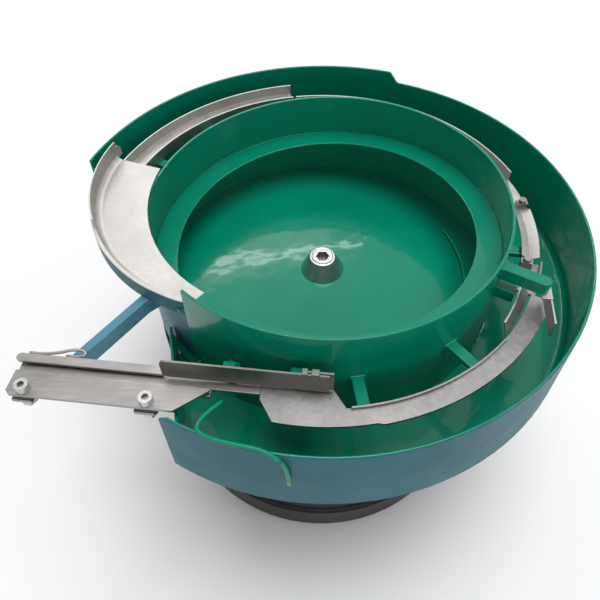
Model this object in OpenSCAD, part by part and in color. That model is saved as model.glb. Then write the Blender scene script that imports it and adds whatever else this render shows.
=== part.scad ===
// Vibratory bowl feeder: painted bowl with a spiral track, exit tray, outer tooling
// track, return pan and straight discharge, on a leaf-spring torsion drive.
// Millimetres. Z is up, the origin is on the bowl's axis at the underside of the feet.
// Angles are degrees anticlockwise from +X. Parts travel clockwise, so they meet
// falling angles: left, back, right, front, then out to the left.

/* [Bowl] */
// Height of the bowl's floor above the underside of the feet
deck = 290; // [280:2:320]
// Outer radius of the bowl's wall
bowl_r = 200; // [195:1:205]
// Thickness of the bowl's wall
wall_t = 3; // [2:0.5:4]
// Thickness of the bowl's and the pan's floor
floor_t = 4; // [3:0.5:6]
// Rise of the bowl's floor from its rim to the hub
floor_rise = 5; // [2:0.5:8]
// Height of the rim above the floor where it starts behind the tray
rim_low = 104; // [104:1:110]
// Rise of the rim along its helix
rim_rise = 36; // [20:1:45]
// Thickness of every painted bar and bracket welded to the wall
bracket_t = 6; // [4:0.5:8]

/* [Spiral track] */
// Width of the track inside the wall
track_w = 28; // [24:1:32]
// Thickness of the track
track_t = 3; // [2:0.5:4]
// Rise of the track for each full turn
track_pitch = 72; // [66:1:80]
// Drop of the track from its inner edge to the wall
track_tilt = 2; // [0:0.5:4]

/* [Hub] */
// Diameter of the cone's foot
cone_foot_d = 52; // [42:1:56]
// Diameter of the cone's top
cone_top_d = 30; // [28:1:36]
// Height of the cone
cone_h = 26; // [22:1:34]
// Diameter of the centre bolt's shank
bolt_d = 16; // [14:1:16]

/* [Exit tray] */
// Height of the tray's bed above the bowl's floor
tray_h = 103; // [100:1:103]
// Radius of the tray's outer edge
tray_r = 177; // [174:1:180]
// Thickness of the stainless liner
liner_t = 1.5; // [1:0.25:2]
// Depth of the painted band around the tray
tray_band = 18; // [14:1:22]

/* [Outer track] */
// Height of the outer track's running surface above the bowl's floor
run_h = 77; // [72:1:80]
// Thickness of the outer track's bars and floors
run_t = 3; // [2:0.5:4]
// Thickness of folded stainless sheet
sheet_t = 2; // [1:0.25:2.5]
// Gap between the bowl's wall and the channel behind it
channel_gap = 28; // [26:1:30]
// Width of the channel behind the bowl
channel_w = 30; // [28:1:34]
// Gap between the bowl's wall and the front track
front_gap = 34; // [33:1:36]
// Width of the front track
front_w = 20; // [17:1:24]
// Height of the lip along the front track
lip_h = 4; // [3:1:8]

/* [Discharge] */
// Length of the discharge from the right end of its guide
run_len = 292; // [285:1:300]
// Turn of the discharge from the bowl's left-hand direction
run_turn = 7.6; // [7:0.2:8.2]
// Width of the slot between the rails
slot_w = 10; // [9:0.5:11]
// Clearance between the rails and the floor bar
rail_gap = 3; // [2.5:0.25:4]
// Width of the front rail
front_rail_w = 26; // [24:1:28]
// Width of the back rail
back_rail_w = 9; // [8:0.5:10]
// Height of the upright guide
guide_h = 25; // [20:1:28]
// Diameter of the rails' screws
screw_d = 8; // [6:1:8]

/* [Return pan] */
// Width of the pan beyond the bowl's wall
pan_w = 90; // [86:1:96]
// Thickness of the pan's wall
pan_wall_t = 3; // [2:0.5:4]
// Height of the pan's rim behind the notch
pan_high = 103; // [99:1:110]
// Height of the pan's rim in front of the notch
pan_low = 89; // [80:1:92]
// Rise of the pan's rim from the notch to the tail
pan_rise = 6; // [3:1:9]
// Outer diameter of the air tube
tube_d = 4; // [3.5:0.5:6]

/* [Drive] */
// Radius of the base casting
base_r = 208; // [206:1:212]
// Height of the base casting
base_h = 40; // [36:1:46]
// Height of the rubber feet
foot_h = 24; // [20:1:30]
// Radius of the feet's bolt circle
foot_pcr = 150; // [145:1:155]
// Outer radius of the skirt
skirt_r = 201; // [198:1:203]
// Number of leaf-spring packs
packs = 4; // [3:1:4]
// Number of leaves in each pack
leaves = 3; // [2:1:3]
// Thickness of one leaf
leaf_t = 3; // [2:0.5:3.5]
// Lean of the leaf springs from the vertical
lean = 20; // [15:1:22]
// Air gap between the magnet and its armature
air_gap = 2; // [1.5:0.25:3]

/* [Hidden] */
$fn = 96;
gap = 0.2;                          // clearance between welded or seated curved faces

green = "#00805c";
teal = "#44697a";
steel = "#c9c5c2";
dark = "#34383c";

// Bowl
bowl_in = bowl_r - wall_t;
under = deck - floor_t;             // underside of both floors
weld_r = bowl_r + gap;              // where pieces meet the wall's outside
rim_back = 156;                     // the rim's low end, behind the tray
rim_front = -133;                   // the rim's high end, in front of the tray
rim_top = deck + rim_low + rim_rise;
track_exit = -135;                  // the track's end, at the tray
track_exit_h = tray_h + 4;
track_start = track_exit + 360 * (track_exit_h - track_t - 0.3) / track_pitch;
track_in = bowl_in - track_w;
return_a0 = -145;                   // the return opening through the wall
return_a1 = -131;
return_w = 48;
return_h0 = 3;
return_h1 = 31;

// Tray: the outer edge is one arc, the inner edge another
tray_c = [-(bowl_r - 121), 28];
tray_in_c = [-(bowl_r - 179.2), 22.8];
tray_in_r = 173.8;
tray_back = 159.5;
tray_end = 155.6;                   // where the liner's wall ends, about the tray's centre
tray_front = 225;
cove_r = 8;
pocket_t = 2;
bed = deck + tray_h;                // top of the painted bed, under the liner
band_top = bed + 10;

// Outer track
run = deck + run_h;                 // running surface
run_under = run - run_t;
channel_in = bowl_r + channel_gap;
channel_out = channel_in + channel_w;
front_in = bowl_r + front_gap;
front_out = front_in + front_w;
side_in = front_in - 18;            // inner edge of the right track and the front track's start
channel_end = 98;
strip_end = 17;
v_start = 3.5;                      // where the right track meets the back track
v_end = -15.5;
front_start = -16.2;
front_wide = -27;
front_end = -91;
bar_a = -31;
bar_z = deck + 105;
bar_out = bowl_r + 41;
lower_bar_top = deck + 93;

// Discharge: local x runs out along it, local y to the front, from the guide's right end
run_x = -3;
run_y = -(bowl_r + 19);
rail_z = run + rail_gap;
rail_t = 3;
rail_start = 154.5;
strap_s = [rail_start + 6.5, run_len - 16];
strap_w = 19;
strap_h = 4;
screw_t = 29;
flange_in = 5.2;                    // from the slot's back edge to the back spacer
flange_out = 15.2;                  // from the slot's back edge to the front spacer
rail_front = slot_w + front_rail_w;

strut_w = 10;
strut_h = 19;
strut_len = 122;
strut_a = -140;

// Pan
pan_r = bowl_r + pan_w;
pan_in = pan_r - pan_wall_t;
pan_back = 162;                     // the pan wall's back end
notch_a = 67.2;                     // the notch's low end, and its slope up to the high rim
notch_slope = 2.2;
pan_tail = -122;
end_a_bowl = -144;                  // the end wall, from the bowl to the pan's wall
end_a_pan = -118.5;
pan_cove = 8;
rib_h = 20;

// Drive
foot_hole_r = 3.4;                  // tapped for M8, 12 deep, in the underside of each foot
rim_clear = 4;                      // from the ground to the base's rim
base_top = rim_clear + base_h;
plate_h = 20;
plate_r = 150;
plate_top = under - 10;
plate_under = plate_top - plate_h;
boss_r = 45;
seat_in = 120;
seat_out = 142;
skirt_top = under - rib_h - 12;
skirt_t = 3;
pack_r = 128;                       // from the axis to a pack's middle
pack_w = 44;
leaf_gap = 2;
clamp_t = 8;
clamp_len = 36;
stack_t = leaves * leaf_t + (leaves - 1) * leaf_gap;
pack_mid = (base_top + plate_under) / 2;
pack_len = (plate_under - base_top - 12) / cos(lean);
pack_bolt_r = 4;
pack_bolt_x = 12;
core_w = 100;
core_d = 60;
core_h = 70;
armature_h = 20;
core_top = plate_under - armature_h - air_gap;

function polar(r, a, z = 0) = [r * cos(a), r * sin(a), z];
function rim_z(a) = deck + rim_low + rim_rise * (rim_back - a) / (rim_back - rim_front);
function track_z(a) = deck + track_exit_h - track_pitch * (a - track_exit) / 360;
function pan_rim_z(a) = deck + pan_low + pan_rise * (notch_a - a) / (notch_a - pan_tail);

// Points of an arc about the bowl's axis, and a point on the discharge, both in plan
function arc(r, a0, a1, n) = [for (k = [0 : n])
    [r * cos(a0 + (a1 - a0) * k / n), r * sin(a0 + (a1 - a0) * k / n)]];
function out(s, t) = [run_x - s * cos(run_turn) - t * sin(run_turn),
    run_y + s * sin(run_turn) - t * cos(run_turn)];

// A band of rectangular section turned about the bowl's axis
module ring_sector(r_in, r_out, z0, z1, a0, a1)
    rotate([0, 0, a0]) rotate_extrude(angle = a1 - a0)
        translate([r_in, z0]) square([r_out - r_in, z1 - z0]);

// A plain turned band, all the way round
module ring(r_in, r_out, z0, z1)
    rotate_extrude() translate([r_in, z0]) square([r_out - r_in, z1 - z0]);

// A solid through a list of sections with the same number of points, closed on itself if asked
module sweep(sections, closed = false) {
    m = len(sections[0]);
    n = len(sections);
    points = [for (s = sections) for (p = s) p];
    sides = [for (i = [0 : closed ? n - 1 : n - 2]) for (j = [0 : m - 1])
        let (a = i * m + j, b = i * m + (j + 1) % m, step = i == n - 1 ? m - n * m : m)
        each [[a, b, b + step], [a, b + step, a + step]]];
    caps = [[for (j = [m - 1 : -1 : 0]) j], [for (j = [0 : m - 1]) (n - 1) * m + j]];
    polyhedron(points, closed ? sides : concat(sides, caps), convexity = 10);
}

// A rectangular section across the wall at one angle
function wall_section(r_in, r_out, z0, z1, a) =
    [polar(r_in, a, z0), polar(r_in, a, z1), polar(r_out, a, z1), polar(r_out, a, z0)];

// Points on a smooth curve through a route, with a few steps between its points
function bend(p0, p1, p2, p3, t) = 0.5 * (2 * p1 + (p2 - p0) * t
    + (2 * p0 - 5 * p1 + 4 * p2 - p3) * t * t + (3 * p1 - p0 - 3 * p2 + p3) * t * t * t);
function smooth(route, steps) = let (n = len(route)) concat(
    [for (i = [0 : n - 2]) for (k = [0 : steps - 1])
        bend(route[max(i - 1, 0)], route[i], route[i + 1], route[min(i + 2, n - 1)], k / steps)],
    [route[n - 1]]);
function unit(v) = v / norm(v);

// Round bar or tube body along a smooth path, its ring turned square to the path
module round_bar(path, d, sides = 8) {
    n = len(path);
    sections = [for (i = [0 : n - 1])
        let (dir = unit(path[min(i + 1, n - 1)] - path[max(i - 1, 0)]),
             side = unit(cross(dir, abs(dir[2]) > 0.9 ? [0, 1, 0] : [0, 0, 1])),
             up = cross(side, dir))
        [for (k = [0 : sides - 1])
            path[i] + d / 2 * (cos(360 * k / sides) * side + sin(360 * k / sides) * up)]];
    sweep(sections);
}

// Places its children on the discharge: x along it, y to the front, z from the ground
module on_discharge()
    translate([run_x, run_y, 0]) rotate([0, 0, 180 - run_turn]) children();

// Box from one corner to the other
module box(x0, x1, y0, y1, z0, z1)
    translate([x0, y0, z0]) cube([x1 - x0, y1 - y0, z1 - z0]);

// Places its children once for each pack: x outwards, y along the way it leans, z up
module each_pack()
    for (k = [0 : packs - 1]) rotate([0, 0, 360 * k / packs + 45 * (packs - 3)])
        translate([pack_r, 0, pack_mid]) rotate([lean, 0, 0]) children();

// Socket head screw standing on z = 0 with its shank below
module cap_screw(d, length, head_d, head_h, socket) {
    difference() {
        cylinder(d = head_d, h = head_h);
        translate([0, 0, head_h * 0.45]) cylinder(d = socket / cos(30), h = head_h, $fn = 6);
    }
    translate([0, 0, -length]) cylinder(d = d, h = length);
}

module hex_nut(af, h, bore_r)
    difference() {
        cylinder(d = af / cos(30), h = h, $fn = 6);
        translate([0, 0, -1]) cylinder(r = bore_r, h = h + 2);
    }

// ---- Bowl ----

module bowl_floor() color(green)
    rotate_extrude() polygon([
        [bolt_d / 2 + 0.5, under], [bowl_in - gap, under], [bowl_in - gap, deck],
        [track_in - 8, deck], [cone_foot_d / 2 + 6, deck + floor_rise],
        [bolt_d / 2 + 0.5, deck + floor_rise]]);

// Wall with a helical rim, dropped to the tray's bed on the left and pierced for returns
module bowl_wall() color(green)
    difference() {
        sweep([for (k = [0 : 119])
            let (helix = k < 97, part = helix ? k / 96 : (k - 97) / 22,
                a = helix ? rim_front + (rim_back - rim_front) * part
                    : rim_back + 0.1 + (359.8 + rim_front - rim_back) * part)
            wall_section(bowl_in, bowl_r, under, helix ? rim_z(a) : bed, a)], closed = true);
        rotate([0, 0, (return_a0 + return_a1) / 2]) box(bowl_in - 20, bowl_r + 20,
            -return_w / 2, return_w / 2, deck + return_h0, deck + return_h1);
    }

module spiral_track() color(green)
    sweep([for (k = [0 : 104])
        let (a = track_exit + (track_start - track_exit) * k / 104, z = track_z(a))
        [polar(track_in, a, z - track_t), polar(track_in, a, z),
         polar(bowl_in - gap, a, z - track_tilt),
         polar(bowl_in - gap, a, z - track_tilt - track_t + min(track_tilt, 2))]]);

module centre_cone() color(steel)
    difference() {
        translate([0, 0, deck + floor_rise])
            cylinder(d1 = cone_foot_d, d2 = cone_top_d, h = cone_h - floor_rise);
        translate([0, 0, deck]) cylinder(d = bolt_d + 1, h = cone_h);
        translate([0, 0, deck + cone_h - bolt_d]) cylinder(d = bolt_d * 1.5 + 1, h = bolt_d + 1);
    }

module centre_bolt() color(steel)
    translate([0, 0, deck + cone_h - bolt_d])
        cap_screw(bolt_d, cone_h + floor_t + 12, bolt_d * 1.5, bolt_d, 14);

// ---- Exit tray ----

// Wedge that keeps what lies between the tray's back and front edges
module tray_wedge(z0, z1) ring_sector(100, 300, z0, z1, tray_back, tray_front);

module tray_pocket() color(teal)
    difference() {
        intersection() {
            translate([tray_c[0], tray_c[1], 0]) union() {
                translate([0, 0, bed - run_t]) cylinder(r = tray_r - 1, h = run_t);
                ring(tray_r - pocket_t, tray_r, band_top - tray_band, band_top);
            }
            tray_wedge(0, rim_top);
        }
        translate([0, 0, bed - 60]) cylinder(r = weld_r, h = 60 + gap);
        translate([tray_in_c[0], tray_in_c[1], 0]) cylinder(r = tray_in_r, h = bed + 40);
    }

// Stainless liner: a flat bed coved up to an edge that laps over the painted band, and a
// wall that stands higher, and past the bed, where it turns parts into the channel
module exit_tray() color(steel) {
    r_wall = tray_r - pocket_t - gap;
    z_tip = band_top + 6.5;
    corner = 8;
    r_cove = r_wall - liner_t - cove_r;
    z_cove = bed + liner_t + cove_r;
    z_lap = band_top + gap;
    difference() {
        union() {
            intersection() {
                tray_wedge(0, rim_top);
                translate([tray_c[0], tray_c[1], 0]) rotate_extrude() polygon(concat(
                    [[0, bed], [r_cove, bed]],
                    [for (k = [1 : 8]) [r_cove + (cove_r + liner_t) * sin(90 * k / 8),
                        z_cove - (cove_r + liner_t) * cos(90 * k / 8)]],
                    [[r_wall, z_lap], [tray_r, z_lap], [tray_r, z_lap + liner_t],
                        [r_wall - liner_t, z_lap + liner_t]],
                    [for (k = [8 : -1 : 0]) [r_cove + cove_r * sin(90 * k / 8),
                        z_cove - cove_r * cos(90 * k / 8)]],
                    [[0, bed + liner_t]]));
            }
            translate([tray_c[0], tray_c[1], 0]) rotate([0, 0, tray_end]) difference() {
                union() {
                    rotate_extrude(angle = 46)
                        translate([r_wall - liner_t + 0.1, z_lap + liner_t - 0.5])
                        square([liner_t, 12]);
                    rotate_extrude(angle = 160.2 - tray_end)
                        translate([r_wall - liner_t + 0.1, bed + liner_t])
                        square([liner_t, z_lap - bed]);
                }
                rotate([0, 0, 180 - tray_end]) translate([-tray_r, 0, band_top + 4]) rotate([2, 0, 0])
                    translate([-20, -120, 0]) cube([60, 240, 40]);
                // Round corner at the wall's tip
                translate([tray_r - 20, 0, 0]) rotate([90, 0, 90]) linear_extrude(40) polygon(concat(
                    [[-1, z_tip + 9], [-1, z_tip - corner]],
                    [for (k = [0 : 6]) [corner - corner * cos(15 * k),
                        z_tip - corner + corner * sin(15 * k)]],
                    [[corner, z_tip + 9]]));
            }
        }
        translate([tray_in_c[0], tray_in_c[1], 0]) cylinder(r = tray_in_r, h = rim_top);
    }
}

// ---- Outer track ----

module u_channel() color(steel) {
    floor_z = run + 5;
    top = run + 18;
    rotate([0, 0, channel_end]) rotate_extrude(angle = tray_back - gap - channel_end)
        difference() {
            translate([channel_in, floor_z - sheet_t])
                square([channel_out - channel_in, top - floor_z + sheet_t]);
            translate([channel_in + sheet_t, floor_z])
                square([channel_out - channel_in - 2 * sheet_t, top]);
        }
}

module back_track() color(steel)
    union() {
        rotate([0, 0, v_start]) rotate_extrude(angle = channel_end - 0.5 - v_start)
            translate([bowl_r + 6, run - sheet_t + 2]) square([29, sheet_t]);
        rotate([0, 0, strip_end]) rotate_extrude(angle = channel_end - 1 - strip_end)
            translate([bowl_r + 34.6 - sheet_t, run + 1]) square([sheet_t, 14]);
    }

module right_track() color(steel)
    rotate([0, 0, v_end]) rotate_extrude(angle = v_start - 0.3 - v_end)
        polygon([[side_in, run + 6], [side_in + 9, run + 1], [front_in + 0.5, run + 6],
            [front_in + 0.5, run + 8], [side_in + 9, run + 3], [side_in, run + 8]]);

module track_clamp() color(steel)
    for (c = [[v_end - 2, side_in + 6, 0], [v_start + 2, side_in + 12, 2]])
        rotate([0, 0, c[0]]) translate([c[1], 0, c[2]]) {
            box(-6, 6, -4, 4, run, run + 8);
            translate([0, 0, run + 8]) cylinder(d = 9, h = 4, $fn = 6);
        }

// Plan of the front track: two arcs, widened on the left to run in beside the guide, with
// a diagonal end where surplus parts fall off into the pan
front_plan = concat(
    arc(front_in + 4, front_start, front_wide, 4),
    arc(front_out, front_wide, -80, 24),
    arc(front_out - 2, -81, -102.5, 10),
    [out(62, 12), out(62, gap - flange_in), out(-4, gap - flange_in)],
    arc(front_in, -87, front_wide, 26),
    arc(side_in, front_wide, front_start, 4));

module front_track() color(steel)
    union() {
        translate([0, 0, run_under]) linear_extrude(run_t) polygon(front_plan);
        // Lips along the inner edge and beside the bars
        translate([0, 0, run - 1]) linear_extrude(1 + lip_h)
            polygon(concat(arc(front_in + 0.3, -86, -44, 18),
                arc(front_in + 0.3 + sheet_t, -44, -86, 18)));
        translate([0, 0, run - 1]) linear_extrude(9)
            polygon(concat(arc(front_in + 1.7, -25.5, front_start - 0.5, 4),
                arc(front_in + 1.7 + sheet_t, front_start - 0.5, -25.5, 4)));
    }

// Radial bar from the wall out under the outer track
module radial_bar(a, r_out, top, w = 12)
    rotate([0, 0, a]) box(bowl_in - 20, r_out, -w / 2, w / 2, top - bracket_t, top);

module track_brackets() color(green)
    difference() {
        union() {
            for (a = [-83, -54]) radial_bar(a, front_out - 6, run_under);
            for (a = [25, 55, 85]) radial_bar(a, bowl_r + 32, run);
            radial_bar(-12, bowl_r + 30, run + 1);
            for (a = [104, 128, 150]) radial_bar(a, channel_out - 4, run + 3);
            on_discharge() for (s = [30, 92]) translate([s - 6, 0, 0])
                rotate([90, 0, 90]) linear_extrude(12) polygon([
                    [-60, run_under - bracket_t], [7, run_under - bracket_t], [7, run_under],
                    [-8, run_under], [-8, run + 12], [-2 - gap, run + 12],
                    [-2 - gap, run + 18], [-14, run + 18], [-14, run_under], [-60, run_under]]);
        }
        cylinder(r = weld_r, h = rim_top);
    }

module upper_bar() color(green)
    difference() {
        rotate([0, 0, bar_a]) union() {
            box(bowl_in - 20, bar_out, -6, 6, bar_z, bar_z + 14);
            translate([bar_out, 0, bar_z]) cylinder(r = 6, h = 14);
        }
        cylinder(r = weld_r, h = rim_top + 50);
    }

module lower_bar() color(green)
    difference() {
        rotate([0, 0, bar_a]) box(bowl_in - 20, bowl_r + 19, -6, 6,
            lower_bar_top - 15, lower_bar_top);
        cylinder(r = weld_r, h = rim_top + 50);
    }

// Leaning plate that turns parts out on to the front track
module guide_plate() color(steel)
    sweep([for (k = [0 : 6]) let (a = -27 - 15 * k / 6, r = front_in - 2.5, lean_r = 9.8 - 5.5 * k / 6)
        [polar(r - sheet_t, a, run), polar(r - lean_r - sheet_t, a, lower_bar_top - 2),
         polar(r - lean_r, a, lower_bar_top - 2), polar(r, a, run)]]);

// Plate hung from the bar's end, which keeps parts on the track
module wiper_strip() color(steel) {
    top = bar_z;
    end = polar(bar_out + 9.5, bar_a);
    translate([end[0], end[1], 0]) rotate([0, 0, -97]) {
        box(-14, 34, -sheet_t / 2, sheet_t / 2, top - 22, top - sheet_t);
        box(-14, 6, -10, sheet_t / 2, top - sheet_t, top);
    }
}

// ---- Discharge ----

module discharge_floor() color(steel)
    on_discharge() {
        box(62 + gap, 107, -flange_in + gap, 7, run_under, run);
        box(107, run_len, -flange_in + gap, flange_out - gap, run_under, run);
    }

module rail_spacers() color(steel)
    on_discharge() difference() {
        union() {
            box(136, run_len - 2, flange_out, rail_front - 3, run_under, rail_z);
            box(rail_start, run_len, -back_rail_w, -flange_in, run_under, rail_z);
        }
        for (s = strap_s) translate([s, screw_t, 0]) cylinder(r = screw_d / 2 + 0.2, h = rim_top);
    }

module front_rail() color(steel)
    on_discharge() difference() {
        translate([0, 0, rail_z]) linear_extrude(rail_t) difference() {
            polygon([[107.5, slot_w], [run_len - 1, slot_w], [run_len, rail_front - 4],
                [run_len - 4, rail_front], [136, rail_front], [107.5, slot_w + 2]]);
        }
        for (s = strap_s) translate([s, screw_t, 0]) cylinder(r = screw_d / 2 + 0.2, h = rim_top);
    }

module back_rail() color(steel)
    on_discharge() union() {
        box(rail_start, run_len, -back_rail_w, 0, rail_z, rail_z + rail_t);
        translate([run_len, -back_rail_w / 2, rail_z]) cylinder(d = back_rail_w, h = rail_t);
    }

module discharge_guide() color(steel)
    on_discharge() translate([0, 0, rail_z]) rotate([90, 0, 0]) linear_extrude(sheet_t)
        union() {
            square([rail_start - gap - 6, guide_h]);
            translate([0, 6]) square([rail_start - gap, guide_h - 12]);
            for (z = [6, guide_h - 6]) translate([rail_start - gap - 6, z]) circle(r = 6);
        }

module guide_leaf() color(steel)
    on_discharge() box(-4, 22, -2 * sheet_t - gap, -sheet_t - gap, rail_z + 2, rail_z + guide_h + 2);

// Folded clips over the top edge of the guide and its leaf
module guide_clips() color(steel)
    on_discharge() for (c = [[9, 7], [19.5, 5]]) translate([c[0], 0, rail_z + guide_h])
        rotate([90, 0, 90]) linear_extrude(c[1]) difference() {
            translate([-2 * sheet_t - gap - 1.2, -8]) square([2 * sheet_t + gap + 2.4, 11.4]);
            translate([-2 * sheet_t - gap - 0.1, -9]) square([2 * sheet_t + gap + 0.2, 11.2]);
        }

module cross_straps() color(steel)
    on_discharge() difference() {
        for (s = strap_s)
            box(s + 2.5 - strap_w / 2, s + 2.5 + strap_w / 2, -back_rail_w, rail_front,
                run_under - strap_h, run_under);
        for (s = strap_s) translate([s, screw_t, 0]) cylinder(r = screw_d / 2 + 0.2, h = rim_top);
    }

module rail_screws() color(steel)
    on_discharge() for (s = strap_s) translate([s, screw_t, rail_z + rail_t])
        cap_screw(screw_d, rail_t + rail_gap + run_t + strap_h + 9, 13, screw_d, 6);

module rail_nuts() color(steel)
    on_discharge() for (s = strap_s) translate([s, screw_t, run_under - strap_h - 6.5])
        hex_nut(13, 6.5, screw_d / 2 + 0.1);

// Bent wire hook behind the back rail
module wire_loop() color(steel)
    on_discharge() translate([0, 0, rail_z + 1.5]) round_bar(smooth([
        [286, -back_rail_w - 1.6, 0], [272, -back_rail_w - 2, 0], [258, -back_rail_w - 4, 1],
        [246, -back_rail_w - 7.5, 2], [236, -back_rail_w - 8, 2], [232, -back_rail_w - 5, 1.5],
        [237, -back_rail_w - 2, 0.5], [250, -back_rail_w - 1.6, 0]], 4), 3);

// Bar from the wall, under the tray, out to the discharge's left strap
module strut() color(teal) {
    z0 = band_top - tray_band - gap;
    z1 = run_under - strap_h - gap;
    difference() {
        translate([-(bowl_r - 26.2), -99.5, 0]) rotate([0, 0, strut_a]) translate([0, strut_w + 3, 0])
            rotate([90, 0, 0]) linear_extrude(strut_w) polygon([
                [-16, z0 - strut_h], [18, z0 - strut_h], [strut_len - 22, z1 - strut_h],
                [strut_len, z1 - 8], [strut_len, z1], [strut_len - 16, z1],
                [18, z0], [-16, z0]]);
        cylinder(r = weld_r, h = rim_top);
    }
}

// ---- Return pan ----

// Line of the end wall in plan, from the bowl to the pan's wall
end_p0 = polar(weld_r, end_a_bowl);
end_p1 = polar(pan_in - gap, end_a_pan);
end_len = norm(end_p1 - end_p0);
end_heading = atan2(end_p1[1] - end_p0[1], end_p1[0] - end_p0[0]);

module on_end_line()
    translate([end_p0[0], end_p0[1], 0]) rotate([0, 0, end_heading]) children();

module pan_floor() color(green)
    difference() {
        rotate([0, 0, end_a_bowl - 2]) rotate_extrude(angle = pan_back - end_a_bowl + 2) {
            translate([weld_r, under]) square([pan_in - gap - pan_cove - weld_r, floor_t]);
            // Coved edge up to the wall
            translate([pan_in - gap - pan_cove - 0.01, under]) difference() {
                square([pan_cove + 0.01, pan_cove + floor_t]);
                translate([0, pan_cove + floor_t]) circle(r = pan_cove);
            }
        }
        on_end_line() box(-60, end_len + 60, -200, gap, 0, rim_top);
    }

// Wall with a notch at the back, its rim rising from there to a clipped tail
module pan_wall() color(green)
    sweep([for (k = [-1 : 93])
        let (low = k < 63,
            a = k < 0 ? pan_tail : low ? pan_tail + 2 + (notch_a - pan_tail - 2) * k / 62
                : notch_a + notch_slope + (pan_back - notch_a - notch_slope) * (k - 63) / 30)
        wall_section(pan_in, pan_r, under,
            k < 0 ? pan_rim_z(a) - 10 : low ? pan_rim_z(a) : deck + pan_high, a)]);

module pan_end_wall() color(green)
    on_end_line() rotate([90, 0, 0])
        linear_extrude(pan_wall_t) polygon([[1, under], [end_len - 2, under],
            [end_len - 2, run_under - 3], [1, deck + 50]]);

module pan_back_wall() color(green)
    difference() {
        rotate([0, 0, pan_back]) box(bowl_in, pan_in, 0.1, pan_wall_t,
            under, band_top - tray_band - 2);
        cylinder(r = weld_r, h = rim_top);
        difference() {
            cylinder(r = pan_r + 10, h = rim_top);
            cylinder(r = pan_in - gap, h = rim_top);
        }
    }

module return_tab() color(green)
    difference() {
        rotate([0, 0, return_a1]) box(bowl_in - 5, bowl_r + 15, 1, 1 + sheet_t,
            deck + 4, deck + return_h1 + 6);
        cylinder(r = weld_r, h = rim_top);
    }

// Flat bars under both floors
module pan_ribs() color(green)
    for (a = [-100, -50, 0, 50, 100, 150]) rotate([0, 0, a]) rotate([90, 0, 0])
        translate([0, 0, -bracket_t / 2]) linear_extrude(bracket_t) polygon([
            [plate_r + 2, under - rib_h], [pan_r - 40, under - rib_h], [pan_r - 5, under - 6],
            [pan_r - 5, under], [plate_r + 2, under]]);

// Air line along the pan's rim: from the jet at the guide, over the rim and down outside
module air_tube() color(green) {
    z = deck + pan_low + pan_rise;
    r = tube_d / 2;
    round_bar(smooth([
        [-98, -231, z - 7], [-104, -238, z - 4], [-114, -252, z], [-115.5, -264, z + r + 0.5],
        polar(pan_r + 0.5, -110.5, z + r + 0.4), polar(pan_r - 1, -106, z + r),
        polar(pan_r - 1, -102.5, z + r - 0.2), polar(pan_r + 2.5, -100, z),
        polar(pan_r + r + 1, -98.6, z - 12), polar(pan_r + r + 1.5, -98, z - 28),
        polar(pan_r + r + 2, -97.8, z - 46)], 3), tube_d);
}

// ---- Drive ----

module top_plate() color(dark)
    difference() {
        union() {
            translate([0, 0, plate_under]) cylinder(r = plate_r, h = plate_h);
            translate([0, 0, plate_top - 1]) cylinder(r = boss_r, h = under - plate_top + 1);
            ring(seat_in, seat_out, plate_top - 1, under);
        }
        translate([0, 0, plate_under - 1]) cylinder(d = bolt_d + 0.3, h = 60);
    }

// Inclined block for the leaves of each pack, cut level where it seats
module spring_blocks(level, upper) {
    thick = 26;
    difference() {
        each_pack() translate([-pack_w / 2, -thick, upper ? pack_len / 2 - clamp_len : -pack_len])
            cube([pack_w, thick, pack_len - (pack_len / 2 - clamp_len)]);
        translate([0, 0, upper ? level + 100 : level - 100]) cube([500, 500, 200], center = true);
        pack_bolt_holes(upper, pack_bolt_r + 0.1);
    }
}

// Bolt holes across one end of each pack
module pack_bolt_holes(upper, r)
    each_pack() for (x = [-pack_bolt_x, pack_bolt_x])
        translate([x, -21, (upper ? 1 : -1) * (pack_len - clamp_len) / 2])
            rotate([-90, 0, 0]) cylinder(r = r, h = 21 + stack_t + clamp_t + 20);

module upper_spring_blocks() color(dark) spring_blocks(plate_under, true);

module lower_spring_blocks() color(dark) spring_blocks(base_top, false);

// Clamp plate on the outer leaf and spacers between the leaves, at one end
module clamps(upper)
    difference() {
        each_pack() translate([-pack_w / 2, 0, (upper ? 1 : -1) * (pack_len - clamp_len) / 2
            - clamp_len / 2]) {
            for (k = [1 : leaves - 1]) translate([0, k * leaf_t + (k - 1) * leaf_gap, 0])
                cube([pack_w, leaf_gap, clamp_len]);
            translate([0, stack_t, 0]) cube([pack_w, clamp_t, clamp_len]);
        }
        translate([0, 0, plate_under - 0.5 + 100]) cube([500, 500, 200], center = true);
        pack_bolt_holes(upper, pack_bolt_r + 0.1);
    }

module upper_clamps() color(dark) clamps(true);

module lower_clamps() color(dark) clamps(false);

module spring_bolts(upper)
    each_pack() for (x = [-pack_bolt_x, pack_bolt_x])
        translate([x, stack_t + clamp_t, (upper ? 1 : -1) * (pack_len - clamp_len) / 2])
            rotate([-90, 0, 0]) {
                cylinder(d = 13 / cos(30), h = 5.5, $fn = 6);
                translate([0, 0, -stack_t - clamp_t - 18])
                    cylinder(r = pack_bolt_r, h = stack_t + clamp_t + 18);
            }

module upper_spring_bolts() color(steel) spring_bolts(true);

module lower_spring_bolts() color(steel) spring_bolts(false);

module leaf_springs() color("#5a6068")
    difference() {
        each_pack() for (k = [0 : leaves - 1])
            translate([-pack_w / 2, k * (leaf_t + leaf_gap), -pack_len / 2])
                cube([pack_w, leaf_t, pack_len]);
        pack_bolt_holes(true, pack_bolt_r + 0.1);
        pack_bolt_holes(false, pack_bolt_r + 0.1);
    }

module armature() color(dark)
    box(-core_w / 2, core_w / 2, -core_d / 2, core_d / 2, plate_under - armature_h, plate_under);

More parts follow.
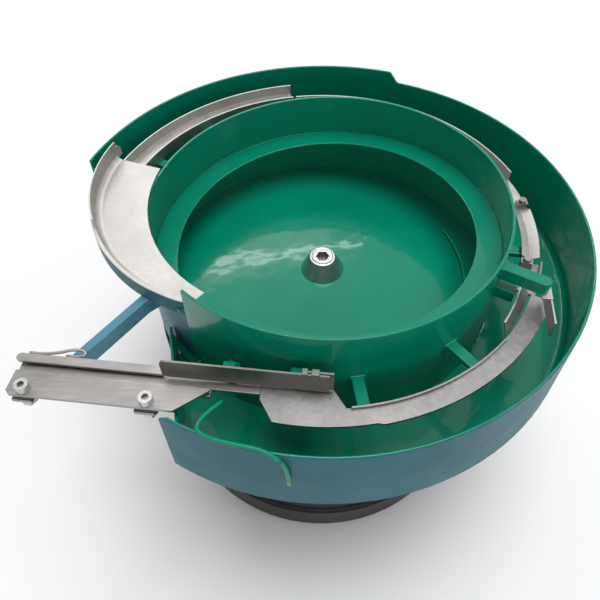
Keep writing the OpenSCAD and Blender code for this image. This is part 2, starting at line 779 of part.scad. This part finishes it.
// E-shaped stack of laminations
module magnet_core() color("#6b6e72")
    translate([0, core_d / 2, core_top - core_h]) rotate([90, 0, 0]) linear_extrude(core_d)
        difference() {
            translate([-core_w / 2, 0]) square([core_w, core_h]);
            for (x = [-35, 15]) translate([x, 20]) square([20, core_h]);
        }

module magnet_coil() color("#7a3b22")
    translate([0, 0, core_top - core_h + 20 + gap]) difference() {
        linear_extrude(42) {
            square([66, core_d + 24], center = true);
            square([54, core_d + 36], center = true);
            for (x = [-27, 27], y = [-1, 1]) translate([x, y * (core_d / 2 + 12)]) circle(r = 6);
        }
        translate([0, 0, 21]) cube([30 + 2 * gap, core_d + 2 * gap, 60], center = true);
    }

// Hat-shaped stand under the magnet
module magnet_stand() color(dark) {
    h = core_top - core_h - base_top;
    translate([0, 40, base_top]) rotate([90, 0, 0]) linear_extrude(80) difference() {
        union() {
            translate([-80, 0]) square([160, 8]);
            translate([-55, 0]) square([110, h]);
        }
        translate([-45, -1]) square([90, h - 7]);
    }
}

// Dished base: its rim comes down close to the ground around the recessed feet
module base_casting() color(dark)
    difference() {
        union() {
            translate([0, 0, rim_clear]) cylinder(r = base_r, h = base_h - 3);
            translate([0, 0, base_top - 3]) cylinder(r = base_r - 3, h = 3);
        }
        translate([0, 0, rim_clear - 1]) cylinder(r = base_r - 12, h = foot_h - rim_clear + 1);
        for (a = [45 : 90 : 315]) rotate([0, 0, a]) translate([foot_pcr, 0, 0]) {
            cylinder(r = 5.2, h = 200);
            translate([0, 0, base_top - 10]) cylinder(r = 9.5, h = 20);
        }
        for (a = [0 : 90 : 270]) rotate([0, 0, a]) translate([skirt_r - skirt_t - 9, 0, 0])
            translate([0, 0, base_top - 10]) cylinder(r = 2.6, h = 20);
    }

module drive_skirt() color(dark)
    difference() {
        union() {
            ring(skirt_r - skirt_t, skirt_r, base_top, skirt_top);
            ring(skirt_r - skirt_t - 16, skirt_r - 1, base_top, base_top + skirt_t);
        }
        for (a = [0 : 90 : 270]) rotate([0, 0, a]) translate([skirt_r - skirt_t - 9, 0, base_top - 1])
            cylinder(r = 2.8, h = 10);
        // Hole for the cable gland
        translate([0, 0, base_top + 30]) rotate([-90, 0, 0]) cylinder(r = 9.3, h = skirt_r + 20);
    }

module skirt_screws() color(steel)
    for (a = [0 : 90 : 270]) rotate([0, 0, a])
        translate([skirt_r - skirt_t - 9, 0, base_top + skirt_t]) {
            cylinder(d = 9, h = 3);
            translate([0, 0, -10]) cylinder(r = 2.5, h = 10);
        }

module rubber_feet() color("#1b1b1d")
    for (a = [45 : 90 : 315]) rotate([0, 0, a]) translate([foot_pcr, 0, 0]) difference() {
        cylinder(r1 = 22, r2 = 25, h = foot_h);
        translate([0, 0, -1]) cylinder(r = foot_hole_r, h = 13);
        translate([0, 0, foot_h - 9]) cylinder(r = 5.2, h = 10);
    }

module foot_screws() color(steel)
    for (a = [45 : 90 : 315]) rotate([0, 0, a])
        translate([foot_pcr, 0, base_top - 10]) cap_screw(10, base_top - 10 - foot_h + 8, 16, 10, 8);

// Screwed gland through the back of the skirt
module cable_gland() color("#1d1f22")
    translate([0, skirt_r, base_top + 30]) rotate([-90, 0, 0]) difference() {
        union() {
            translate([0, 0, -skirt_t - 8]) cylinder(r = 9, h = 9 + skirt_t + 1);
            translate([0, 0, 0.6]) cylinder(d = 24 / cos(30), h = 6, $fn = 6);
            translate([0, 0, 6.6]) cylinder(r = 10.5, h = 10);
            translate([0, 0, 16.6]) cylinder(r1 = 10.5, r2 = 6, h = 5);
            translate([0, 0, -skirt_t - 5.6]) cylinder(d = 24 / cos(30), h = 5, $fn = 6);
        }
        translate([0, 0, -30]) cylinder(r = 4, h = 80);
    }

bowl_floor();
bowl_wall();
spiral_track();
centre_cone();
centre_bolt();
tray_pocket();
exit_tray();
u_channel();
back_track();
right_track();
track_clamp();
front_track();
track_brackets();
upper_bar();
lower_bar();
guide_plate();
wiper_strip();
discharge_floor();
rail_spacers();
front_rail();
back_rail();
discharge_guide();
guide_leaf();
guide_clips();
cross_straps();
rail_screws();
rail_nuts();
wire_loop();
strut();
pan_floor();
pan_wall();
pan_end_wall();
pan_back_wall();
return_tab();
pan_ribs();
air_tube();
top_plate();
armature();
upper_spring_blocks();
upper_clamps();
upper_spring_bolts();
leaf_springs();
lower_spring_blocks();
lower_clamps();
lower_spring_bolts();
magnet_core();
magnet_coil();
magnet_stand();
base_casting();
drive_skirt();
skirt_screws();
rubber_feet();
foot_screws();
cable_gland();
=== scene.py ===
"""Looks for the vibratory bowl feeder: a finish for every CAD node, weld beads at the bars and
brackets, a camera at the viewing angle and soft studio light. Metres, in the row frame."""

import math

import bpy
from mathutils import Matrix, Vector


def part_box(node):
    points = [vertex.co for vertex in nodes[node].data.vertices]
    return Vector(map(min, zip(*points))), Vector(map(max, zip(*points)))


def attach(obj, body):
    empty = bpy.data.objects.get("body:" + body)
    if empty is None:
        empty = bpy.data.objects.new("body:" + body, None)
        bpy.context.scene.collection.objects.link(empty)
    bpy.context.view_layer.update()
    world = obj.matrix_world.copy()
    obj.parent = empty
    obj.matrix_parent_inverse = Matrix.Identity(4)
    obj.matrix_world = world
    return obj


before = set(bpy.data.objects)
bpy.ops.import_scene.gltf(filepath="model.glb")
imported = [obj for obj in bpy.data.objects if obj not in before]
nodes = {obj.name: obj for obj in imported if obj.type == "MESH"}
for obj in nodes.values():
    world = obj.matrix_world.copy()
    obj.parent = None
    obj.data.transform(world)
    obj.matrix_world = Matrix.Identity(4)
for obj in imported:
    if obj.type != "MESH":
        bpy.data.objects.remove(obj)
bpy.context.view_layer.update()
scene = bpy.context.scene

# ---- Driving dimensions, read from the frame ----

FLOOR_RISE = 0.005                                 # the bowl floor's middle above its edge
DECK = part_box("bowl_floor")[1].z - FLOOR_RISE      # the bowl floor's level
BOWL_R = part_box("bowl_wall")[1].x


def polar(r, deg, z=0.0):
    a = math.radians(deg)
    return Vector((r * math.cos(a), r * math.sin(a), z))


# ---- Node-tree helpers ----


class Tree:
    """A material's nodes, with short calls to add and join them."""

    def __init__(self, name):
        self.mat = bpy.data.materials.new(name)
        self.mat.use_nodes = True
        self.nodes = self.mat.node_tree.nodes
        self.links = self.mat.node_tree.links
        self.shader = self.nodes["Principled BSDF"]
        self.coords = self.add("ShaderNodeTexCoord").outputs["Object"]

    def add(self, kind, **inputs):
        node = self.nodes.new(kind)
        for key, value in inputs.items():
            node.inputs[key].default_value = value
        return node

    def join(self, out, into):
        self.links.new(out, into)

    def drive(self, out, socket):
        """Joins an output to one of the shader's inputs."""
        self.join(out, self.shader.inputs[socket])

    def fix(self, **inputs):
        """Sets the shader's plain inputs, with _ for the spaces in their names."""
        for key, value in inputs.items():
            self.shader.inputs[key.replace("_", " ")].default_value = value

    def noise(self, scale, detail=4.0, rough=0.55, stretch=None):
        """Noise over the object's own coordinates, packed closer along each axis by stretch."""
        source = self.coords
        if stretch:
            mapping = self.add("ShaderNodeMapping", Scale=stretch)
            self.join(source, mapping.inputs["Vector"])
            source = mapping.outputs["Vector"]
        tex = self.add("ShaderNodeTexNoise", Scale=scale, Detail=detail, Roughness=rough)
        self.join(source, tex.inputs["Vector"])
        return tex.outputs["Fac"]

    def wave(self, kind, axis, scale, distortion):
        """Regular rings about an axis, or bands across it."""
        tex = self.add("ShaderNodeTexWave", Scale=scale, Distortion=distortion)
        tex.wave_type = kind
        if kind == "RINGS":
            tex.rings_direction = axis
        else:
            tex.bands_direction = axis
        self.join(self.coords, tex.inputs["Vector"])
        return tex.outputs["Fac"]

    def ramp(self, fac, low, high):
        """A factor spread between two stops, each (place, grey level or colour)."""
        node = self.nodes.new("ShaderNodeValToRGB")
        for element, (place, value) in zip(node.color_ramp.elements, (low, high)):
            element.position = place
            rgb = value if isinstance(value, tuple) else (value,) * 3
            element.color = (*rgb, 1.0)
        self.join(fac, node.inputs["Fac"])
        return node.outputs["Color"]

    def bump(self, height, strength, distance, normal=None):
        node = self.add("ShaderNodeBump", Strength=strength, Distance=distance)
        self.join(height, node.inputs["Height"])
        if normal:
            self.join(normal, node.inputs["Normal"])
        return node.outputs["Normal"]

    def combine(self, a, b, operation="ADD"):
        """Adds or multiplies a factor and a second factor or number."""
        node = self.nodes.new("ShaderNodeMath")
        node.operation = operation
        self.join(a, node.inputs[0])
        if isinstance(b, float):
            node.inputs[1].default_value = b
        else:
            self.join(b, node.inputs[1])
        return node.outputs[0]


def shade(colour, k):
    return tuple(min(1.0, c * k) for c in colour)


def paint(name, colour, rough, coat=0.0, mottle=0.1, peel=0.25, gloss=0.2):
    """Sprayed or brushed-on coating: faint mottling, orange peel and duller patches."""
    t = Tree(name)
    broad = t.noise(9.0, detail=3.0)
    fine = t.noise(140.0, detail=3.0)
    patches = t.noise(26.0)
    swell = t.noise(34.0, detail=1.5)
    wavy = t.bump(swell, strength=min(1.0, peel * 3), distance=0.0012)
    height = t.combine(fine, t.combine(broad, 1.5, "MULTIPLY"))
    skin = t.bump(height, strength=peel, distance=0.0006, normal=wavy)
    t.drive(t.ramp(broad, (0.3, shade(colour, 1 - mottle)), (0.7, shade(colour, 1 + mottle))),
            "Base Color")
    t.drive(t.ramp(patches, (0.25, rough - 0.06), (0.75, rough + 0.08)), "Roughness")
    t.drive(skin, "Normal")
    t.drive(wavy, "Coat Normal")
    t.fix(Coat_Weight=coat, Coat_Roughness=0.07, Specular_IOR_Level=gloss)
    return t.mat


def metal(name, colour, rough, grain=(6.0, 6.0, 300.0), strength=0.12, vary=0.12):
    """Brushed or drawn metal: fine lines along one way, with faint blotches from handling."""
    t = Tree(name)
    lines = t.noise(6.0, detail=6.0, rough=0.7, stretch=grain)
    blotch = t.noise(22.0)
    t.drive(t.ramp(t.combine(lines, blotch, "MULTIPLY"),
                   (0.1, shade(colour, 1 - vary)), (0.45, shade(colour, 1 + vary))), "Base Color")
    t.drive(t.ramp(t.combine(lines, t.combine(blotch, 0.6, "MULTIPLY")),
                   (0.4, rough - 0.07), (1.0, rough + 0.1)), "Roughness")
    t.drive(t.bump(lines, strength, distance=0.0003), "Normal")
    t.fix(Metallic=1.0)
    return t.mat


def turned(name, colour, rough):
    """Lathe-turned metal: fine rings about the row's Z axis."""
    t = Tree(name)
    rings = t.wave("RINGS", "Z", scale=420.0, distortion=0.6)
    t.drive(t.ramp(t.noise(60.0), (0.3, shade(colour, 0.85)), (0.7, shade(colour, 1.1))),
            "Base Color")
    t.drive(t.ramp(rings, (0.0, rough), (1.0, rough + 0.08)), "Roughness")
    t.drive(t.bump(rings, strength=0.25, distance=0.0002), "Normal")
    t.fix(Metallic=1.0)
    return t.mat


def cast(name, colour, rough, metallic=0.0):
    """As-cast, plated or moulded surface: coarse skin with duller pits."""
    t = Tree(name)
    pits = t.noise(320.0, detail=5.0, rough=0.7)
    t.drive(t.ramp(t.noise(14.0), (0.3, shade(colour, 0.8)), (0.7, shade(colour, 1.25))),
            "Base Color")
    t.drive(t.ramp(pits, (0.3, rough - 0.08), (0.7, rough + 0.1)), "Roughness")
    t.drive(t.bump(pits, strength=0.35, distance=0.0007), "Normal")
    t.fix(Metallic=metallic)
    return t.mat


def layered(name, dark, light, pitch_scale, axis):
    """Stacked sheets or wound turns: bands across one axis."""
    t = Tree(name)
    bands = t.wave("BANDS", axis, scale=pitch_scale, distortion=0.2)
    t.drive(t.ramp(bands, (0.2, dark), (0.8, light)), "Base Color")
    t.drive(t.ramp(t.noise(50.0), (0.3, 0.4), (0.7, 0.55)), "Roughness")
    t.drive(t.bump(bands, strength=0.4, distance=0.0006), "Normal")
    return t.mat


# ---- Finishes ----

EVEN_GRAIN = (30.0, 30.0, 30.0)                    # rubbed both ways, so no lines show

green = paint("pu_green", (0.0, 0.235, 0.142), 0.26, coat=0.5, peel=0.15, gloss=0.12)
teal = paint("shell_teal", (0.022, 0.116, 0.150), 0.40, mottle=0.08, peel=0.15, gloss=0.12)
# The strut carries the shell's teal paint, made lighter over the whole strut: painted light, for
# the light that falls on its top.
strut_teal_painted_light = paint("strut_teal_lightened", (0.10, 0.27, 0.36), 0.34, coat=0.2, mottle=0.08, peel=0.12)
base_grey = paint("base_grey", (0.050, 0.056, 0.062), 0.46, mottle=0.12, peel=0.3, gloss=0.12)
base_rim = paint("base_rim_grey", (0.062, 0.060, 0.056), 0.5, mottle=0.14, peel=0.35, gloss=0.1)
tube_green = paint("tube_green", (0.0, 0.24, 0.14), 0.30, coat=0.2, mottle=0.06, peel=0.1,
                   gloss=0.1)
bright = metal("stainless_bright", (0.44, 0.427, 0.41), 0.42, EVEN_GRAIN, 0.05, vary=0.2)
brushed = metal("stainless_brushed", (0.31, 0.30, 0.29), 0.34, (6.0, 190.0, 190.0), vary=0.24)
# The front track's stainless is made darker and blotchier than the other tracks: painted shade and
# dark reflections of the parts that stand on it.
track_steel_painted_dark = metal("stainless_track_painted_dark", (0.25, 0.245, 0.24), 0.36, EVEN_GRAIN, vary=0.26)
guide_grey = metal("stainless_worn", (0.22, 0.21, 0.20), 0.42, (4.0, 160.0, 160.0), vary=0.16)
spring_blue = metal("spring_steel", (0.20, 0.22, 0.26), 0.36, (160.0, 4.0, 4.0))
copper = metal("bare_copper", (0.55, 0.30, 0.20), 0.38, (200.0, 200.0, 8.0))
cone_steel = turned("turned_steel", (0.66, 0.65, 0.63), 0.3)
zinc = cast("zinc_plate", (0.46, 0.46, 0.45), 0.30, metallic=1.0)
# Painted shade: a darker grey for the inside of the screws' hexagon sockets, where shade falls in
# the recess.
socket_shade_painted = cast("socket_shadow", (0.26, 0.26, 0.26), 0.45, metallic=1.0)
castings = cast("cast_skin", (0.085, 0.085, 0.09), 0.6, metallic=0.4)
rubber = cast("foot_rubber", (0.014, 0.014, 0.015), 0.75)
plastic = cast("gland_plastic", (0.016, 0.016, 0.018), 0.5)
laminated = layered("laminations", (0.10, 0.10, 0.11), (0.26, 0.26, 0.28), 260.0, "Y")
winding = layered("coil_winding", (0.16, 0.045, 0.02), (0.34, 0.11, 0.045), 150.0, "Z")

FINISH = {
    green: "bowl_floor bowl_wall spiral_track track_brackets upper_bar lower_bar pan_floor "
           "pan_wall pan_end_wall pan_back_wall return_tab pan_ribs",
    teal: "tray_pocket",
    strut_teal_painted_light: "strut",
    bright: "exit_tray u_channel right_track wiper_strip guide_plate back_track",
    track_steel_painted_dark: "front_track",
    brushed: "track_clamp discharge_floor rail_spacers front_rail back_rail cross_straps "
             "wire_loop",
    guide_grey: "discharge_guide guide_leaf guide_clips",
    zinc: "rail_screws rail_nuts upper_spring_bolts lower_spring_bolts skirt_screws foot_screws "
          "centre_bolt",
    cone_steel: "centre_cone",
    base_grey: "drive_skirt",
    base_rim: "base_casting",
    castings: "top_plate upper_spring_blocks lower_spring_blocks upper_clamps lower_clamps "
              "magnet_stand",
    laminated: "magnet_core armature",
    winding: "magnet_coil",
    spring_blue: "leaf_springs",
    rubber: "rubber_feet",
    plastic: "cable_gland",
    tube_green: "air_tube",
}

# Width of the rounded edges; 0 leaves a node's edges as they are
DEFAULT_EDGE = 0.0004
EDGE = {
    "bowl_wall": 0.0014, "pan_wall": 0.0014, "spiral_track": 0.0014, "pan_end_wall": 0.001,
    "upper_bar": 0.0022, "lower_bar": 0.0016, "track_brackets": 0.0012, "strut": 0.0012,
    "centre_cone": 0.001, "centre_bolt": 0.0008, "base_casting": 0.002, "drive_skirt": 0.0012,
    "tray_pocket": 0.0007, "return_tab": 0.0008, "back_rail": 0.0007, "guide_plate": 0.0003,
    "top_plate": 0.002, "cross_straps": 0, "rail_spacers": 0, "front_rail": 0, "air_tube": 0,
    "wire_loop": 0,
}
EDGE_SEGMENTS = 3
EDGE_ANGLE = math.radians(33)                      # edges sharper than this are rounded
FACE_WEIGHT = 80                                   # how far large faces rule the shading
WELD_DISTANCE = 0.00001

# Flat plates with holes: their faces stay flat, so that no shading runs from hole to hole
FLAT = ("front_rail", "back_rail", "rail_spacers", "cross_straps", "discharge_floor",
        "discharge_guide", "guide_leaf")


def finish_node(name, material):
    obj = nodes[name]
    mesh = obj.data
    mesh.materials.clear()
    mesh.materials.append(material)
    mesh.normals_split_custom_set([(0.0, 0.0, 0.0)] * len(mesh.loops))
    for polygon in mesh.polygons:
        polygon.use_smooth = name not in FLAT
    weld = obj.modifiers.new("join", "WELD")
    weld.merge_threshold = WELD_DISTANCE
    width = EDGE.get(name, DEFAULT_EDGE)
    if width:
        bevel = obj.modifiers.new("edges", "BEVEL")
        bevel.width = width
        bevel.segments = EDGE_SEGMENTS
        bevel.limit_method = "ANGLE"
        bevel.angle_limit = EDGE_ANGLE
        bevel.use_clamp_overlap = True
        bevel.loop_slide = False
        even = obj.modifiers.new("even", "WEIGHTED_NORMAL")
        even.mode = "FACE_AREA_WITH_ANGLE"
        even.weight = FACE_WEIGHT


for material, names in FINISH.items():
    for name in names.split():
        finish_node(name, material)

# ---- Second finishes: teal outside, green inside, painted shade in the sockets ----

FACING = 0.5                                       # how far a normal leans the way it faces
SKEWED = 0.4                                       # the same for walls that stand at an angle
POCKET_FROM, POCKET_TO = 163.0, -133.1             # where the pan leaves the bowl's wall bare
POCKET_RIM = DECK + 0.11                           # the wall's rim above the tray's band
TUBE_END = DECK + 0.052                            # the air tube's lower end is bare below this


def repaint(name, material, chosen):
    """Gives the faces for which chosen(centre, normal) holds a second finish."""
    mesh = nodes[name].data
    mesh.materials.append(material)
    index = len(mesh.materials) - 1
    for polygon in mesh.polygons:
        if chosen(polygon.center, polygon.normal):
            polygon.material_index = index


def outward(centre, normal):
    return normal.x * centre.x + normal.y * centre.y > FACING * math.hypot(centre.x, centre.y)


def underside(centre, normal):
    return normal.z < -FACING


def outside_pan(centre):
    """Where the pan leaves the bowl's wall bare, on the left."""
    a = math.degrees(math.atan2(centre.y, centre.x))
    return a < POCKET_TO or a > POCKET_FROM


def bare_wall(centre, normal):
    """The bowl wall's outside and low rim, outside the pan."""
    shown = outward(centre, normal) or normal.z > FACING and centre.z < POCKET_RIM
    return shown and outside_pan(centre)


repaint("pan_wall", teal, lambda c, n: outward(c, n) or underside(c, n))
repaint("bowl_wall", teal, bare_wall)
repaint("pan_floor", teal, underside)
repaint("bowl_floor", teal, underside)
repaint("pan_end_wall", teal, lambda c, n: n.x < -SKEWED)
repaint("pan_back_wall", teal, lambda c, n: n.y < -SKEWED)
repaint("base_casting", base_grey, lambda c, n: n.z > FACING)
repaint("air_tube", copper, lambda c, n: c.z < TUBE_END)

HEAD_MAX = 0.04                                    # a node wider than one head holds two screws
SOCKET_R = 0.009                                   # a little more than the largest socket's
TOP_SLACK = 1e-4                                   # faces nearer the head's top belong to it


def paint_socket_shade(name, depth):
    """Gives the hexagon sockets in a node's screw heads a darker grey: painted shade in the
    recess.
    """
    low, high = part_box(name)
    middle = (low.x + high.x) / 2
    mesh = nodes[name].data
    top = max(v.co.z for v in mesh.vertices)
    rim = [v.co for v in mesh.vertices if v.co.z > top - TOP_SLACK]
    if high.x - low.x < HEAD_MAX:
        heads = [rim]
    else:
        heads = [[co for co in rim if co.x < middle], [co for co in rim if co.x >= middle]]
    mesh.materials.append(socket_shade_painted)
    index = len(mesh.materials) - 1
    for head in heads:
        xs, ys = [co.x for co in head], [co.y for co in head]
        axis = Vector(((min(xs) + max(xs)) / 2, (min(ys) + max(ys)) / 2, 0))
        for polygon in mesh.polygons:
            c, n = polygon.center, polygon.normal
            away = Vector((c.x - axis.x, c.y - axis.y, 0))
            in_socket = away.length < SOCKET_R and top - depth < c.z < top - TOP_SLACK
            if in_socket and (n.z > 0.9 or n.dot(away) < 0):
                polygon.material_index = index


paint_socket_shade("centre_bolt", depth=0.012)
paint_socket_shade("rail_screws", depth=0.006)

# ---- Weld beads ----

BEAD_R = 0.0014
BEAD_PITCH = 0.0022                                # from ripple to ripple
BEAD_SIDES = 8
BEAD_LIFT = 0.0004                                 # of a bead's middle off the bowl's wall
BAR_HALF = 0.0066                                  # half the width that a bead goes round
BRACKET_H = 0.006
BAR_DEG = -31.0
# Where the brackets stand on the bowl's wall, and the height of each above the running surface
BACK_BRACKETS = ((-12, 0.001), (25, 0), (55, 0), (85, 0), (104, 0.003), (128, 0.003), (150, 0.003))
FRONT_BRACKETS = (-83, -54)


def mesh_piece(name, verts, faces, material, body="bowl_unit"):
    mesh = bpy.data.meshes.new(name)
    mesh.from_pydata([tuple(v) for v in verts], [], faces)
    mesh.update()
    for polygon in mesh.polygons:
        polygon.use_smooth = True
    mesh.materials.append(material)
    obj = bpy.data.objects.new(name, mesh)
    scene.collection.objects.link(obj)
    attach(obj, body)
    return obj


def bead(points):
    """A weld bead's vertices and faces: a ribbed half-buried cord with thin ends."""
    path = [points[0]]
    for a, b in zip(points, points[1:]):
        steps = max(1, int((b - a).length / (BEAD_PITCH / 4)))
        path += [a.lerp(b, k / steps) for k in range(1, steps + 1)]
    last = len(path) - 1
    verts, faces = [], []
    travelled = 0.0
    for i, p in enumerate(path):
        ahead = (path[min(i + 1, last)] - path[max(i - 1, 0)]).normalized()
        side = ahead.cross(Vector((0, 0, 1)))
        if side.length < 0.1:
            side = ahead.cross(Vector((1, 0, 0)))
        side.normalize()
        up = side.cross(ahead)
        if i:
            travelled += (p - path[i - 1]).length
        taper = min(1.0, 0.3 + 12.0 * min(i, last - i) / len(path))
        ripple = 0.86 + 0.14 * abs(math.sin(math.pi * travelled / BEAD_PITCH))
        r = BEAD_R * taper * ripple
        for k in range(BEAD_SIDES):
            a = 2 * math.pi * k / BEAD_SIDES
            verts.append(p + side * (r * math.cos(a)) + up * (r * math.sin(a)))
    for start in range(0, last * BEAD_SIDES, BEAD_SIDES):
        for k in range(BEAD_SIDES):
            a, b = start + k, start + (k + 1) % BEAD_SIDES
            faces.append((a, b, b + BEAD_SIDES, a + BEAD_SIDES))
    faces.append(tuple(range(BEAD_SIDES - 1, -1, -1)))
    faces.append(tuple(range(last * BEAD_SIDES, len(path) * BEAD_SIDES)))
    return verts, faces


def beads(name, routes, material):
    verts, faces = [], []
    for route in routes:
        v, f = bead(route)
        faces += [tuple(i + len(verts) for i in face) for face in f]
        verts += v
    return mesh_piece(name, verts, faces, material)


def bar_welds(deg, low, high):
    """Route of a bead round a radial bar's root on the bowl's wall."""
    r = BOWL_R + BEAD_LIFT
    d = math.degrees(BAR_HALF / r)
    return [polar(r, deg - d, low), polar(r, deg - d, high), polar(r, deg + d, high),
            polar(r, deg + d, low), polar(r, deg - d, low)]


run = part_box("discharge_floor")[1].z               # the running surface
bracket_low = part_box("track_brackets")[0].z
bars = (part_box("upper_bar"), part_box("lower_bar"))
beads("bar_welds",
      [bar_welds(deg, run + rise - BRACKET_H, run + rise) for deg, rise in BACK_BRACKETS]
      + [bar_welds(BAR_DEG, low.z, high.z) for low, high in bars]
      + [bar_welds(deg, bracket_low, bracket_low + BRACKET_H) for deg in FRONT_BRACKETS],
      green)

# ---- Camera: above the front, turned a little about its own axis ----

FOCAL_MM, SENSOR_MM = 37.56, 36.0
CLIP_START = 0.02
ELEVATION = math.radians(50.917)
ROLL = math.radians(0.977)
DISTANCE = 0.76615                                 # from the point that it looks at
SHIFT_RIGHT, SHIFT_UP = -0.02780, -0.03550         # of that point from the bowl floor's middle

back = Vector((0, -math.cos(ELEVATION), math.sin(ELEVATION)))
level_right = Vector((1, 0, 0))
level_up = Vector((0, math.sin(ELEVATION), math.cos(ELEVATION)))
right = level_right * math.cos(ROLL) - level_up * math.sin(ROLL)
up = level_up * math.cos(ROLL) + level_right * math.sin(ROLL)
eye = back * DISTANCE + level_right * SHIFT_RIGHT + level_up * SHIFT_UP + Vector((0, 0, DECK))

camera_data = bpy.data.cameras.new("camera")
camera_data.lens = FOCAL_MM
camera_data.sensor_width = SENSOR_MM
camera_data.clip_start = CLIP_START
camera = bpy.data.objects.new("camera", camera_data)
scene.collection.objects.link(camera)
camera.matrix_world = Matrix((
    (right.x, up.x, back.x, eye.x),
    (right.y, up.y, back.y, eye.y),
    (right.z, up.z, back.z, eye.z),
    (0, 0, 0, 1)))
scene.camera = camera

# ---- Floor ----

FLOOR_HALF = 6.0

floor_white = Tree("floor_white")
floor_white.fix(Base_Color=(0.9, 0.9, 0.9, 1), Roughness=0.9, Specular_IOR_Level=0.1)
floor_mesh = bpy.data.meshes.new("floor")
corners = [(x * FLOOR_HALF, y * FLOOR_HALF, 0) for x, y in ((-1, -1), (1, -1), (1, 1), (-1, 1))]
floor_mesh.from_pydata(corners, [], [(0, 1, 2, 3)])
floor_mesh.materials.append(floor_white.mat)
floor = bpy.data.objects.new("floor", floor_mesh)
scene.collection.objects.link(floor)

# ---- World: soft light, plain white to the camera, in reflections and through glass ----

world = bpy.data.worlds.new("studio")
scene.world = world
world.use_nodes = True
tree = world.node_tree
light = tree.nodes["Background"]
light.inputs["Color"].default_value = (0.97, 0.985, 1.0, 1)
light.inputs["Strength"].default_value = 0.42
seen = tree.nodes.new("ShaderNodeBackground")
seen.inputs["Color"].default_value = (1, 1, 1, 1)
seen.inputs["Strength"].default_value = 1.0
rays = tree.nodes.new("ShaderNodeLightPath")
any_ray = rays.outputs["Is Camera Ray"]
for kind in ("Is Glossy Ray", "Is Transmission Ray"):
    either = tree.nodes.new("ShaderNodeMath")
    either.use_clamp = True
    tree.links.new(any_ray, either.inputs[0])
    tree.links.new(rays.outputs[kind], either.inputs[1])
    any_ray = either.outputs[0]
mix = tree.nodes.new("ShaderNodeMixShader")
tree.links.new(any_ray, mix.inputs["Fac"])
tree.links.new(light.outputs["Background"], mix.inputs[1])
tree.links.new(seen.outputs["Background"], mix.inputs[2])
tree.links.new(mix.outputs["Shader"], tree.nodes["World Output"].inputs["Surface"])

# ---- Lamps ----

SUN_STRENGTH = 1.85
SUN_ANGLE = math.radians(38)                       # wide, for soft shadows and an even floor
SUN_TILT = (math.radians(-3), math.radians(6), 0)


def lamp(name, place, size, power):
    """A rectangular lamp that faces the bowl."""
    data = bpy.data.lights.new(name, "AREA")
    data.shape = "RECTANGLE"
    data.size, data.size_y = size
    data.energy = power
    obj = bpy.data.objects.new(name, data)
    scene.collection.objects.link(obj)
    obj.location = place
    aim = Vector((0, 0, DECK)) - Vector(place)
    obj.rotation_euler = aim.to_track_quat("-Z", "Y").to_euler()


sun = bpy.data.lights.new("overhead", "SUN")
sun.energy = SUN_STRENGTH
sun.angle = SUN_ANGLE
overhead = bpy.data.objects.new("overhead", sun)
scene.collection.objects.link(overhead)
overhead.rotation_euler = SUN_TILT
lamp("window", (-0.5, 1.7, 1.7), size=(1.3, 0.8), power=4.5)
lamp("strip", (-0.35, 1.45, 1.75), size=(1.5, 0.06), power=3)
lamp("side", (1.7, -0.6, 1.1), size=(0.4, 1.3), power=4.5)
lamp("front", (0.2, -2.2, 0.9), size=(2.0, 0.5), power=5)

scene.view_settings.view_transform = "Standard"
